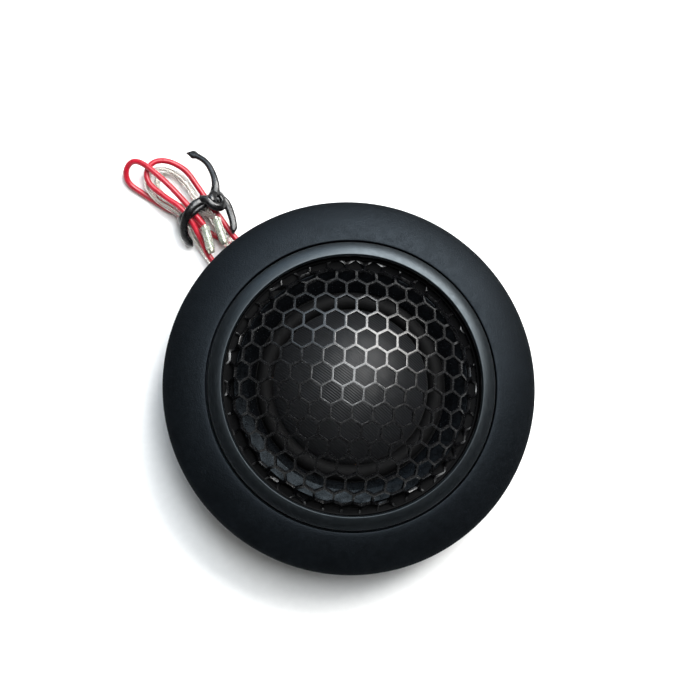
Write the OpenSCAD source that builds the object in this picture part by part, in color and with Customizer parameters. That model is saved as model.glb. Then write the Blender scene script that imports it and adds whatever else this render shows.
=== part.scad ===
// Flush-mount dome tweeter for a car interior: a capsule held by a bayonet in a wide mounting ring,
// with two thin leads folded into a hank under the ring's edge.
// Millimetres. The origin is the centre of the capsule's back face, and +Z points out of the dome.

/* [Mounting ring] */
// Outer diameter of the mounting ring's flange
flange_d = 62.3; // [60:0.1:66]
// Height of the flange's underside above the back of the capsule
seat_z = 11; // [10.8:0.1:11.4]
// Thickness of the flange at its outer edge
flange_edge_h = 1.3; // [1:0.1:1.6]
// Rise of the convex flange from its outer edge to its inner edge
flange_rise = 2.1; // [1.6:0.1:2.4]
// Diameter of the skirt that passes through the panel
skirt_d = 50.4; // [50:0.1:51]
// Depth of the skirt below the flange's underside
skirt_depth = 5.5; // [5:0.1:5.6]
// Thickness of the foam gasket under the flange
gasket_h = 0.7; // [0.4:0.1:1.2]
// Turn of the bayonet from locked to free, in degrees
bayonet_turn = 20; // [12:1:24]

/* [Capsule] */
// Outer diameter of the bezel at the groove
bezel_d = 47.7; // [47.4:0.1:48]
// Diameter of the opening inside the bezel's lip
opening_d = 42.9; // [42.8:0.1:43.2]
// Height of the bezel's crest above the back
crest_z = 15.9; // [15.6:0.1:16.2]
// Outer diameter of the rear housing
body_d = 45.2; // [45:0.1:45.4]
// Wall of the rear housing
wall = 1.6; // [1.4:0.1:1.7]

/* [Grille] */
// Height of the grille's crown above the back
grille_top = 22; // [21.6:0.1:23]
// Pitch of the hexagonal holes
hex_pitch = 3.5; // [3.2:0.1:4]
// Width of a hole across its flats
hex_hole = 3.1; // [2.8:0.1:3.2]
// Thickness of the mesh
mesh_t = 0.5; // [0.4:0.1:0.6]
// Turn of the rows of holes about the axis, in degrees
mesh_turn = -3.3; // [-10:0.1:10]

/* [Motor and dome] */
// Diameter of the silk dome at its foot
dome_d = 25.8; // [25.6:0.1:25.8]
// Height of the dome above its foot
dome_h = 6.3; // [5.8:0.1:6.6]
// Outer diameter of the steel yoke cup
yoke_d = 33; // [32.4:0.1:33.2]
// Diameter of the magnet
magnet_d = 24; // [22:0.1:24.4]
// Thickness of the magnet
magnet_h = 4; // [3.6:0.1:4.2]
// Free travel of the dome each way
dome_travel = 0.4; // [0.2:0.1:0.4]

/* [Leads] */
// Diameter of one lead over its insulation
lead_d = 1; // [0.9:0.1:1]
// Direction in which the leads go out, in degrees from +X
lead_az = 128; // [120:1:136]

/* [Hidden] */
$fn = 96;
eps = 0.01;

// Radii of the mounting ring and the capsule
flange_r = flange_d / 2;
skirt_r = skirt_d / 2;
skirt_z = seat_z - skirt_depth;
bezel_r = bezel_d / 2;
opening_r = opening_d / 2;
body_r = body_d / 2;
gasket_gap = 1;
gasket_edge = 0.85;
groove_w = 0.3;
recess_r = bezel_r + groove_w;
skirt_in_r = body_r + 0.4;
ledge_z = seat_z + 1.6;
rim_z = ledge_z + 0.3;
edge_z = seat_z + flange_edge_h;
ring_top_z = edge_z + flange_rise;

// Levels inside the capsule, from the back to the front
base_h = wall;
plate_z = seat_z + 0.6;
plate_h = 1.3;
plate_top_z = plate_z + plate_h;
yoke_top_z = plate_z - 1.5;
pole_h = 2;
magnet_z = yoke_top_z - pole_h - magnet_h;
membrane_z = plate_z + 0.1;
membrane_t = 0.15;
dome_z = membrane_z + dome_travel;

// Radii of the motor and the diaphragm
yoke_r = yoke_d / 2;
yoke_tail_r = yoke_r - 1.9;
yoke_gap_r = 13.6;
pole_r = 12.35;
former_r = 12.6;
former_t = 0.15;
winding_t = 0.4;
former_h = 5.6;
winding_h = 2.8;
dome_r = dome_d / 2;
dome_curve_r = (dome_r * dome_r + dome_h * dome_h) / (2 * dome_h);
dome_t = 0.25;
roll_r = 1.4;
roll_in_r = dome_r + 0.1;
roll_mid_r = roll_in_r + roll_r;
membrane_out_r = 17.3;
plate_in_r = 17.5;

// Grille: a spherical crown, then a tight shoulder down to a flat rim
crown_r = 34;
crown_a = 31;
shoulder_r = 6;
shoulder_a = 75;
mesh_rim_r = opening_r - 0.1;
mesh_rim_h = 0.4;
hex_limit_r = crown_r * sin(crown_a) - hex_pitch / 2;
mesh_shift = [-0.2, -2.1];
arc_steps = 8;

// Bayonet lugs and screws, three of each round the capsule
lug_count = 3;
lug_turn = 60;
lug_a = 12;
lug_z = 7.4;
lug_h = 1.4;
lug_r = 23.8;
play = 0.3;
play_a = 1;
lug_root = 0.4;
screw_ring_r = 19.3;
screw_r = 0.95;
screw_head_r = 1.75;
screw_head_h = 1;
screw_head_z = 0.3;
boss_r = 2;
boss_foot = 0.2;
boss_gap = 0.1;
tight_gap = 0.02;
shank_gap = 0.1;
head_gap = 0.15;
tail_gap = 0.15;

// Terminals and the lead exit, along the direction lead_az
board_u = 17;
board_t = 1;
board_w = 11;
board_top_z = 9.6;
tag_t = 0.4;
tag_w = 2.4;
tag_v = 2.2;
tag_z = 2;
tag_h = 6.8;
rivet_r = 0.48;
rivet_head_r = 0.9;
rivet_head_t = 0.3;
rivet_z = 6.2;
exit_z = 3.4;
grommet_w = 8;
grommet_h = 3.2;
grommet_lip = 0.5;

// Routes in the frame turned by lead_az: outwards, across, up
RED_ROUTE = [[18.4, -2.2, 3.4], [21, -2.2, 3.4], [23.5, -2.2, 3.4], [25.1, -1.8, 3],
             [26.6, -1.2, 2.4]];
CLEAR_ROUTE = [[18.4, 2.2, 3.4], [21, 2.2, 3.4], [23.5, 2.2, 3.4], [25.1, 2, 3],
               [26.6, 1.6, 2.4]];
LEADOUT_ROUTE = [[13.6, 0, 11], [15, 0, 11], [16.4, 0, 10.9], [17.5, 0, 10.5], [18.1, 0, 9.8],
                 [18.2, 0, 8.8]];
TAIL_OUT_ROUTE = [[40.2, -2.8, 4.6], [41.6, -4, 4.6], [43.6, -4.9, 4], [45.8, -5.2, 3.4],
                  [47.8, -4.6, 2.8], [49.2, -3.6, 2.4]];
TAIL_IN_ROUTE = [[39.8, -2.8, 4.2], [38, -3.5, 4], [35.8, -3, 3.8], [34, -2.1, 3.8], [33, -1.3, 3.8]];
leadout_r = 0.2;
tail_r = 0.6;

// Hank: the folded leads, narrowed at the tie
hank_z = 0.1;
hank_h = 2.9;
hank_lobe_h = 4;
waist_u = 40;
waist_w = 6.2;
waist_v = 1.1;
waist_z = 0.85;
waist_h = 3.3;
waist_l = 5;
tie_w = 1.8;
tie_t = 0.75;
tie_play = 0.05;
HANK_INNER = [[28.6, -0.8], [28.6, 2.8], [35.6, 2.6], [35.6, -0.4]];
HANK_OUTER = [[43.6, 0], [43.6, 3], [46.6, 6.4], [50, 5.6], [51.4, 4], [48.6, 0.6], [46, -0.4]];
hank_round = 2;
crimp_r = 0.6;
crimp_l = 5;
crimp_z = 3.85;
crimp_bore_r = 0.5;
crimp_bore_l = 2;
sleeve_from = 0.3;
sleeve_t = 0.2;
sleeve_l = 4;
CRIMP_RED_AT = [37.2, 1.8];
crimp_red_turn = 158;
CRIMP_CLEAR_AT = [37.2, -0.6];
crimp_clear_turn = 162;

// One unit vector, and the rings of a tube that follows a route
function unit(a) = a / norm(a);
function heading(p, i) = unit(p[min(i + 1, len(p) - 1)] - p[max(i - 1, 0)]);
function tube_ring(p, i, r, sides, up) =
    let (t = heading(p, i), s = unit(cross(t, up)), w = cross(s, t))
    [for (k = [0 : sides - 1]) p[i] + r * (cos(360 * k / sides) * s + sin(360 * k / sides) * w)];

// A flat point turned about the origin
function turned(p, a) = [p[0] * cos(a) - p[1] * sin(a), p[0] * sin(a) + p[1] * cos(a)];

// Points on an arc in the outline of a turned part
function arc(centre, r, from, to, steps) =
    [for (k = [0 : steps]) let (a = from + (to - from) * k / steps) centre + r * [cos(a), sin(a)]];

// Points round the grille's shoulder, set in from its outer face
function mesh_shoulder(inset, a) =
    let (c = [(crown_r - shoulder_r) * sin(crown_a),
              grille_top - crown_r + (crown_r - shoulder_r) * cos(crown_a)])
    c + (shoulder_r - inset) * [sin(a), cos(a)];

module along_leads() {
    rotate([0, 0, lead_az]) children();
}

module around_capsule() {
    for (i = [0 : lug_count - 1]) {
        rotate([0, 0, lead_az + lug_turn + i * 360 / lug_count]) children();
    }
}

module turned_ring(r_in, r_out, z, h) {
    difference() {
        translate([0, 0, z]) cylinder(r = r_out, h = h);
        translate([0, 0, z - eps]) cylinder(r = r_in, h = h + 2 * eps);
    }
}

module swept_tube(p, r, sides, up = [0, 0, 1]) {
    last = len(p) - 1;
    rings = [for (i = [0 : last]) each tube_ring(p, i, r, sides, up)];
    walls = [for (i = [0 : last - 1]) for (k = [0 : sides - 1])
             [i * sides + k, i * sides + (k + 1) % sides,
              (i + 1) * sides + (k + 1) % sides, (i + 1) * sides + k]];
    start_cap = [for (k = [0 : sides - 1]) sides - 1 - k];
    end_cap = [for (k = [0 : sides - 1]) last * sides + k];
    polyhedron(points = rings, faces = concat([start_cap, end_cap], walls));
}

module mounting_flange() {
    edge_round = 0.5;
    lip_round = 0.35;
    top_bulge_r = 16;
    top_from = [flange_r - edge_round * 0.3, edge_z];
    top_to = [recess_r + lip_round, ring_top_z];
    half = (top_to - top_from) / 2;
    lift = sqrt(top_bulge_r * top_bulge_r - norm(half) * norm(half));
    bulge_c = top_from + half + lift * unit([half[1], -half[0]]) * -1;
    a_from = atan2(top_from[1] - bulge_c[1], top_from[0] - bulge_c[0]);
    a_to = atan2(top_to[1] - bulge_c[1], top_to[0] - bulge_c[0]);
    lead_in_w = 0.4;
    lead_in_h = 0.6;
    section = concat(
        [[skirt_in_r, skirt_z], [skirt_r - lead_in_w, skirt_z], [skirt_r, skirt_z + lead_in_h],
         [skirt_r, seat_z],
         [flange_r - edge_round, seat_z]],
        arc([flange_r - edge_round, seat_z + edge_round], edge_round, -90, 0, 3),
        arc(bulge_c, top_bulge_r, a_from, a_to, arc_steps),
        arc([recess_r + lip_round, ring_top_z - lip_round], lip_round, 90, 180, 3),
        [[recess_r, ledge_z], [skirt_in_r, ledge_z]]);
    color("#20262d") difference() {
        rotate_extrude() polygon(section);
        around_capsule() {
            rotate([0, 0, -lug_a / 2 - bayonet_turn - play_a])
                rotate_extrude(angle = lug_a + bayonet_turn + 2 * play_a)
                    translate([skirt_in_r - 0.3, lug_z - play])
                        square([lug_r + play - skirt_in_r + 0.3, lug_h + 2 * play]);
            rotate([0, 0, -lug_a / 2 - bayonet_turn - play_a])
                rotate_extrude(angle = lug_a + 2 * play_a)
                    translate([skirt_in_r - 0.3, skirt_z - 1])
                        square([lug_r + play - skirt_in_r + 0.3, lug_z - skirt_z + 1 + play]);
        }
    }
}

module flange_gasket() {
    color("#2b2b2b")
        turned_ring(skirt_r + gasket_gap, flange_r - gasket_edge, seat_z - gasket_h, gasket_h);
}

module front_bezel() {
    lip_w = 0.3;
    lip_drop = 0.3;
    tilt_out = 55;
    tilt_in = 5;
    hole_depth = 0.9;
    crown_w = bezel_r - opening_r - lip_w;
    curve_r = crown_w / (sin(tilt_out) - sin(tilt_in));
    curve_c = [opening_r + lip_w - curve_r * sin(tilt_in), crest_z - curve_r * cos(tilt_in)];
    section = concat(
        [[plate_in_r, plate_z], [body_r, plate_z], [body_r, rim_z], [bezel_r, rim_z]],
        arc(curve_c, curve_r, 90 - tilt_out, 90 - tilt_in, arc_steps),
        [[opening_r, crest_z - lip_drop], [opening_r, plate_top_z], [plate_in_r, plate_top_z]]);
    color("#16181b") difference() {
        rotate_extrude() polygon(section);
        around_capsule()
            translate([screw_ring_r, 0, plate_z - 1])
                cylinder(r = screw_r + tight_gap, h = 1 + hole_depth);
    }
}

module grille_mesh() {
    foot_r = mesh_shoulder(0, shoulder_a)[0];
    collar = concat(
        [for (k = [0 : 5]) mesh_shoulder(0, crown_a + (shoulder_a - crown_a) * k / 5)],
        [[foot_r + 0.1, plate_top_z + mesh_rim_h], [mesh_rim_r, plate_top_z + mesh_rim_h],
         [mesh_rim_r, plate_top_z], [foot_r - mesh_t, plate_top_z]],
        [for (k = [5 : -1 : 0]) mesh_shoulder(mesh_t, crown_a + (shoulder_a - crown_a) * k / 5)]);
    crown_edge_r = crown_r * sin(crown_a);
    edge_web = 0.2;
    columns = ceil(hex_limit_r / hex_pitch) + 1;
    row_step = hex_pitch * sqrt(3) / 2;
    rows = ceil(hex_limit_r / row_step) + 1;
    color("#0e0f11") {
        difference() {
            translate([0, 0, grille_top - crown_r]) sphere(r = crown_r);
            translate([0, 0, grille_top - crown_r]) sphere(r = crown_r - mesh_t);
            translate([0, 0, -2 * crown_r]) cylinder(r = 2 * crown_r, h = 2 * crown_r + plate_top_z);
            difference() {
                cylinder(r = 2 * crown_r, h = 2 * grille_top);
                translate([0, 0, -1]) cylinder(r = crown_edge_r - 0.15, h = 3 * grille_top);
            }
            for (j = [-rows : rows]) for (i = [-columns : columns]) {
                along = (i + (j % 2 == 0 ? 0 : 0.5)) * hex_pitch;
                at = mesh_shift + turned([along, j * row_step], mesh_turn);
                if (norm(at) < hex_limit_r - edge_web)
                    translate([at[0], at[1], plate_top_z - 1]) rotate([0, 0, 30 + mesh_turn])
                        cylinder(r = hex_hole / sqrt(3), h = grille_top, $fn = 6);
            }
        }
        rotate_extrude() polygon(collar);
    }
}

module grille_retainer() {
    color("#121315")
        turned_ring(mesh_rim_r - 0.8, mesh_rim_r, plate_top_z + mesh_rim_h, 0.6);
}

module waveguide_ring() {
    throat_r = roll_mid_r + roll_r + 0.1;
    seat = membrane_z + membrane_t;
    section = [[throat_r, seat], [plate_in_r - 0.1, seat], [plate_in_r - 0.1, plate_top_z],
               [screw_ring_r + 0.2, plate_top_z], [screw_ring_r + 0.2, plate_top_z + 0.3],
               [screw_ring_r - 0.8, plate_top_z + 0.5], [throat_r + 1.2, plate_top_z],
               [throat_r + 0.3, seat + 0.5]];
    color("#1b1c1f") rotate_extrude() polygon(section);
}

module silk_dome() {
    centre_z = dome_z + dome_h - dome_curve_r;
    color("#26282b") difference() {
        translate([0, 0, centre_z]) sphere(r = dome_curve_r);
        translate([0, 0, centre_z]) sphere(r = dome_curve_r - dome_t);
        translate([0, 0, dome_z - 2 * dome_curve_r])
            cylinder(r = 2 * dome_curve_r, h = 2 * dome_curve_r);
    }
}

module surround() {
    seat = membrane_z + membrane_t;
    section = concat(
        arc([roll_mid_r, seat], roll_r, 180, 0, arc_steps),
        [[membrane_out_r, seat], [membrane_out_r, membrane_z],
         [roll_mid_r + roll_r - membrane_t, membrane_z]],
        arc([roll_mid_r, seat], roll_r - membrane_t, 0, 180, arc_steps));
    color("#1d1e20") rotate_extrude() polygon(section);
}

module coil_former() {
    color("#b8894a") turned_ring(former_r, former_r + former_t, dome_z - former_h, former_h);
}

module coil_winding() {
    mid_z = yoke_top_z - pole_h / 2;
    color("#b4622e")
        turned_ring(former_r + former_t, former_r + former_t + winding_t, mid_z - winding_h / 2, winding_h);
}

module diaphragm_ring() {
    ring_in_r = 15;
    slot_w = 1;
    slot_h = 1.3;
    color("#303236") difference() {
        turned_ring(ring_in_r, membrane_out_r - 0.1, yoke_top_z, membrane_z - yoke_top_z);
        along_leads() for (v = [-tag_v, tag_v])
            translate([ring_in_r - 1, v - slot_w / 2, yoke_top_z - 1]) cube([5, slot_w, slot_h + 1]);
    }
}

module damping_pad() {
    pad_r = pole_r - 0.95;
    pad_h = 1.4;
    color("#4a4a48") translate([0, 0, yoke_top_z]) cylinder(r = pad_r, h = pad_h);
}

module pole_plate() {
    color("#8d9094") translate([0, 0, yoke_top_z - pole_h]) cylinder(r = pole_r, h = pole_h);
}

module magnet() {
    color("#9ea1a6") translate([0, 0, magnet_z]) cylinder(r = magnet_d / 2, h = magnet_h);
}

module yoke_cup() {
    tail_z = 0.3;
    chamfer = 0.4;
    color("#8a8d91") rotate_extrude()
        polygon([[0, tail_z], [yoke_tail_r - chamfer, tail_z], [yoke_tail_r, tail_z + chamfer],
                 [yoke_tail_r, base_h], [yoke_r, base_h], [yoke_r, yoke_top_z],
                 [yoke_gap_r, yoke_top_z], [yoke_gap_r, magnet_z], [0, magnet_z]]);
}

module rear_housing() {
    edge = 0.8;
    edge_in = 0.25;
    hole_r = yoke_tail_r + tail_gap;
    section = [[hole_r, 0], [body_r - edge, 0], [body_r - edge_in, edge_in], [body_r, edge],
               [body_r, plate_z], [body_r - wall, plate_z], [body_r - wall, base_h],
               [hole_r, base_h]];
    color("#1a1c1f") difference() {
        union() {
            rotate_extrude() polygon(section);
            around_capsule() {
                translate([screw_ring_r, 0, base_h - boss_foot])
                    cylinder(r = boss_r, h = plate_z - boss_gap - base_h + boss_foot);
                rotate([0, 0, -lug_a / 2]) rotate_extrude(angle = lug_a)
                    translate([body_r - lug_root, lug_z]) square([lug_r - body_r + lug_root, lug_h]);
            }
        }
        around_capsule() {
            translate([screw_ring_r, 0, -1]) cylinder(r = screw_r + shank_gap, h = plate_z + 2);
            translate([screw_ring_r, 0, -1])
                cylinder(r = screw_head_r + head_gap, h = screw_head_z + screw_head_h + 1);
        }
        along_leads()
            translate([body_r - wall - 1, -grommet_w / 2, exit_z - grommet_h / 2])
                cube([wall + 2, grommet_w, grommet_h]);
    }
}

module housing_screws() {
    top = screw_head_z + screw_head_h;
    grip = 0.8;
    slot_l = 2;
    slot_w = 0.4;
    slot_h = 0.6;
    color("#3a3c3f") around_capsule() translate([screw_ring_r, 0, 0]) difference() {
        union() {
            translate([0, 0, screw_head_z]) cylinder(r = screw_head_r, h = screw_head_h);
            translate([0, 0, top - eps]) cylinder(r = screw_r, h = plate_z + grip - top);
        }
        for (a = [0, 90])
            rotate([0, 0, a]) translate([-slot_l / 2, -slot_w / 2, screw_head_z - 1])
                cube([slot_l, slot_w, 1 + slot_h]);
    }
}

module terminal_board() {
    color("#6b4a2a") along_leads() difference() {
        translate([board_u, -board_w / 2, base_h]) cube([board_t, board_w, board_top_z - base_h]);
        for (v = [-tag_v, tag_v])
            translate([board_u - 1, v, rivet_z]) rotate([0, 90, 0]) cylinder(r = rivet_r + tight_gap, h = 3);
    }
}

module terminal_tag(v) {
    color("#c9b27a") along_leads() difference() {
        translate([board_u + board_t, v - tag_w / 2, tag_z]) cube([tag_t, tag_w, tag_h]);
        translate([board_u, v, rivet_z]) rotate([0, 90, 0]) cylinder(r = rivet_r + tight_gap, h = 3);
    }
}

module terminal_positive() {
    terminal_tag(-tag_v);
}

module terminal_negative() {
    terminal_tag(tag_v);
}

module terminal_rivets() {
    shank_l = board_t + tag_t;
    color("#b9a878") along_leads() for (v = [-tag_v, tag_v])
        translate([board_u, v, rivet_z]) rotate([0, 90, 0]) {
            cylinder(r = rivet_r, h = shank_l);
            translate([0, 0, -rivet_head_t]) cylinder(r = rivet_head_r, h = rivet_head_t);
            translate([0, 0, shank_l]) cylinder(r = rivet_head_r, h = rivet_head_t);
        }
}

module coil_leadout(v) {
    color("#b87333") along_leads() translate([0, v, 0])
        swept_tube(LEADOUT_ROUTE, leadout_r, 8, [0, 1, 0]);
}

module coil_leadout_positive() {
    coil_leadout(-tag_v);
}

module coil_leadout_negative() {
    coil_leadout(tag_v);
}

module lead_grommet() {
    inner_u = body_r - wall - grommet_lip;
    outer_u = body_r + grommet_lip;
    fit_gap = 0.05;
    low_z = exit_z - grommet_h / 2 + fit_gap;
    color("#0f0f10") along_leads() difference() {
        union() {
            translate([inner_u, -grommet_w / 2 + fit_gap, low_z])
                cube([outer_u - inner_u, grommet_w - 2 * fit_gap, grommet_h - 2 * fit_gap]);
            intersection() {
                translate([inner_u, -grommet_w / 2 - grommet_lip, low_z])
                    cube([outer_u - inner_u + 1, grommet_w + 2 * grommet_lip, grommet_h + 4 * fit_gap]);
                turned_ring(body_r, body_r + grommet_lip, 0, seat_z);
            }
        }
        for (v = [-tag_v, tag_v])
            translate([inner_u - 1, v, exit_z]) rotate([0, 90, 0])
                cylinder(r = lead_d / 2 + fit_gap, h = wall + 4);
    }
}

module lead_red() {
    color("#d01f35") along_leads() swept_tube(RED_ROUTE, lead_d / 2, 8);
}

module lead_clear() {
    color("#c9c6ba") along_leads() swept_tube(CLEAR_ROUTE, lead_d / 2, 8);
}

module lead_hank() {
    color("#c85a62") along_leads() {
        translate([0, 0, hank_z]) linear_extrude(height = hank_h)
            offset(r = hank_round, $fn = 32) polygon(HANK_INNER);
        translate([0, 0, hank_z]) linear_extrude(height = hank_lobe_h)
            offset(r = hank_round, $fn = 32) polygon(HANK_OUTER);
        translate([waist_u - waist_l / 2, waist_v - waist_w / 2, waist_z])
            cube([waist_l, waist_w, waist_h]);
    }
}

module twist_tie() {
    hole_w = waist_w + 2 * tie_play;
    hole_h = waist_h + 2 * tie_play;
    color("#111213") along_leads() {
        translate([waist_u - tie_w / 2, waist_v, waist_z + waist_h / 2]) rotate([0, 90, 0]) difference() {
            translate([-hole_h / 2 - tie_t, -hole_w / 2 - tie_t, 0])
                cube([hole_h + 2 * tie_t, hole_w + 2 * tie_t, tie_w]);
            translate([-hole_h / 2, -hole_w / 2, -1]) cube([hole_h, hole_w, tie_w + 2]);
        }
        swept_tube(TAIL_OUT_ROUTE, tail_r, 8);
        swept_tube(TAIL_IN_ROUTE, tail_r, 8);
    }
}

module at_crimp(at, turn) {
    along_leads() translate([at[0], at[1], crimp_z]) rotate([0, 0, turn]) rotate([0, 90, 0]) children();
}

module crimp(at, turn) {
    color("#9a9d8c") at_crimp(at, turn) difference() {
        cylinder(r = crimp_r, h = crimp_l);
        translate([0, 0, -1]) cylinder(r = crimp_bore_r, h = 1 + crimp_bore_l);
    }
}

module crimp_red() {
    crimp(CRIMP_RED_AT, crimp_red_turn);
}

module crimp_clear() {
    crimp(CRIMP_CLEAR_AT, crimp_clear_turn);
}

module crimp_sleeves() {
    color("#d8dad2", 0.5) {
        at_crimp(CRIMP_RED_AT, crimp_red_turn)
            turned_ring(crimp_r + tight_gap, crimp_r + sleeve_t, sleeve_from, sleeve_l);
        at_crimp(CRIMP_CLEAR_AT, crimp_clear_turn)
            turned_ring(crimp_r + tight_gap, crimp_r + sleeve_t, sleeve_from, sleeve_l);
    }
}

mounting_flange();
flange_gasket();
front_bezel();
grille_mesh();
grille_retainer();
waveguide_ring();
silk_dome();
surround();
coil_former();
coil_winding();
diaphragm_ring();
damping_pad();
pole_plate();
magnet();
yoke_cup();
rear_housing();
housing_screws();
terminal_board();
terminal_positive();
terminal_negative();
terminal_rivets();
coil_leadout_positive();
coil_leadout_negative();
lead_grommet();
lead_red();
lead_clear();
lead_hank();
twist_tie();
crimp_red();
crimp_clear();
crimp_sleeves();
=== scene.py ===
import math
import random

import bmesh
import bpy
from mathutils import Matrix, Vector


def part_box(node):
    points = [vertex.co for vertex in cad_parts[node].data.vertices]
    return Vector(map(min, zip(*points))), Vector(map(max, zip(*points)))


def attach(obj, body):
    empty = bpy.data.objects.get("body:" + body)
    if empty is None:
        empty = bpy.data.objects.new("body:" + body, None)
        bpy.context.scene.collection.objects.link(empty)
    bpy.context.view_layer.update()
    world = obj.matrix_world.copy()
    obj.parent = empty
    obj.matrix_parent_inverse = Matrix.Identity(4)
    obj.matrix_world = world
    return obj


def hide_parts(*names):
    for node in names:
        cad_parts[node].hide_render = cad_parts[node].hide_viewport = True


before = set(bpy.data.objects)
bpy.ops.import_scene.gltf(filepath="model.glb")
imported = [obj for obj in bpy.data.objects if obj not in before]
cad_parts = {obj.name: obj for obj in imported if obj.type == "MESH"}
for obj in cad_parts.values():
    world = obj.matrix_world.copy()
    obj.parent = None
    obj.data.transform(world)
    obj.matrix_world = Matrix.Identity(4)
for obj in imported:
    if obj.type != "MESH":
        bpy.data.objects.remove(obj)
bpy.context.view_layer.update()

# Looks of a flush-mount dome tweeter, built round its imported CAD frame. The frame is in metres, and
# lengths written here are in millimetres until mm() or MM turns them into metres.
MM = 0.001
random.seed(7)


def mm(*place):
    """A place in millimetres, as a vector in metres."""
    return Vector(place) * MM


def box_mm(node):
    """The lowest and highest corners of a CAD node, in millimetres."""
    low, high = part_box(node)
    return Vector(low) / MM, Vector(high) / MM


# ---------------------------------------------------------------- sizes, from the frame

FLANGE_LOW, FLANGE_HIGH = box_mm("mounting_flange")
GASKET_LOW, GASKET_HIGH = box_mm("flange_gasket")
BEZEL_LOW, BEZEL_HIGH = box_mm("front_bezel")
GRILLE_LOW, GRILLE_HIGH = box_mm("grille_mesh")
DOME_LOW, DOME_HIGH = box_mm("silk_dome")
ROLL_LOW, ROLL_HIGH = box_mm("surround")
PAD_LOW, PAD_HIGH = box_mm("damping_pad")
WINDING_LOW, WINDING_HIGH = box_mm("coil_winding")
GUIDE_LOW, GUIDE_HIGH = box_mm("waveguide_ring")

FLANGE_R = FLANGE_HIGH.x
SKIRT_Z = FLANGE_LOW.z
RING_TOP_Z = FLANGE_HIGH.z
SEAT_Z = GASKET_HIGH.z
BEZEL_R = BEZEL_HIGH.x
PLATE_Z = BEZEL_LOW.z
PLATE_TOP_Z = PLATE_Z + 1.3
CREST_Z = BEZEL_HIGH.z
MESH_TOP_Z = GRILLE_HIGH.z
MESH_RIM_R = GRILLE_HIGH.x
MESH_RIM_Z = GRILLE_LOW.z
DOME_R = DOME_HIGH.x
DOME_Z = DOME_LOW.z
DOME_TOP_Z = DOME_HIGH.z

GROOVE_W = 0.3
SKIRT_R = 25.2
SKIRT_IN_R = 23.0
OPENING_R = MESH_RIM_R + 0.1
BODY_R = 22.6
PLATE_IN_R = 17.5
EDGE_Z = SEAT_Z + 1.3
LEDGE_Z = SEAT_Z + 1.6
RIM_Z = LEDGE_Z + 0.3
LUG_ANGLES = (68, 188, 308)
LUG_R = 23.8
SCREW_RING_R = 19.3

# The leads run out of the housing along this direction, as u; v is across and z is up.
LEAD_AZ = math.radians(128)
OUT = Vector((math.cos(LEAD_AZ), math.sin(LEAD_AZ), 0))
ACROSS = Vector((-math.sin(LEAD_AZ), math.cos(LEAD_AZ), 0))
LEAD_R = 0.5


def lead_place(u, v, z):
    """A point of the leads' own frame, as a vector in metres."""
    return (OUT * u + ACROSS * v + Vector((0, 0, z))) * MM


# ---------------------------------------------------------------- camera and light

VIEW_FROM = Vector((-0.11, -0.11, 1)).normalized()
VIEW_DISTANCE = 300
VIEW_AIM = Vector((-0.12, 6.13, EDGE_Z - 0.3))
LENS_MM = 92.6


def make_camera():
    data = bpy.data.cameras.new("camera")
    data.lens = LENS_MM
    data.sensor_width = 36
    data.clip_start = 0.01
    data.clip_end = 20
    camera = bpy.data.objects.new("camera", data)
    bpy.context.scene.collection.objects.link(camera)
    right = Vector((0, 1, 0)).cross(VIEW_FROM).normalized()
    up = VIEW_FROM.cross(right)
    turn = Matrix((right, up, VIEW_FROM)).transposed().to_4x4()
    camera.matrix_world = Matrix.Translation((VIEW_AIM + VIEW_FROM * VIEW_DISTANCE) * MM) @ turn
    bpy.context.scene.camera = camera


def softbox(name, azimuth, elevation, distance, width, height, watts, colour=(1, 1, 1)):
    """A rectangular light that faces the object; azimuth is in degrees from +X, lengths in metres."""
    data = bpy.data.lights.new(name, "AREA")
    data.shape = "RECTANGLE"
    data.size = width
    data.size_y = height
    data.energy = watts
    data.color = colour
    light = bpy.data.objects.new(name, data)
    a, e = math.radians(azimuth), math.radians(elevation)
    towards = Vector((math.cos(a) * math.cos(e), math.sin(a) * math.cos(e), math.sin(e)))
    light.location = towards * distance + mm(0, 0, 12)
    light.rotation_mode = "QUATERNION"
    light.rotation_quaternion = towards.to_track_quat("Z", "Y")
    bpy.context.scene.collection.objects.link(light)
    return light


def make_light():
    world = bpy.data.worlds.new("studio")
    world.use_nodes = True
    background = world.node_tree.nodes["Background"]
    background.inputs["Color"].default_value = (1.0, 0.96, 0.86, 1)
    background.inputs["Strength"].default_value = 0.05
    bpy.context.scene.world = world
    softbox("key", 56, 53, 0.55, 0.34, 0.26, 5.2, (1, 0.99, 0.97))
    softbox("top", 98, 46, 0.9, 0.7, 0.35, 2.6, (0.72, 0.86, 1))
    softbox("overhead", 70, 79, 1.2, 0.5, 0.5, 10, (0.95, 0.98, 1))
    bpy.context.scene.view_settings.view_transform = "Standard"


# ---------------------------------------------------------------- materials


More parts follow.
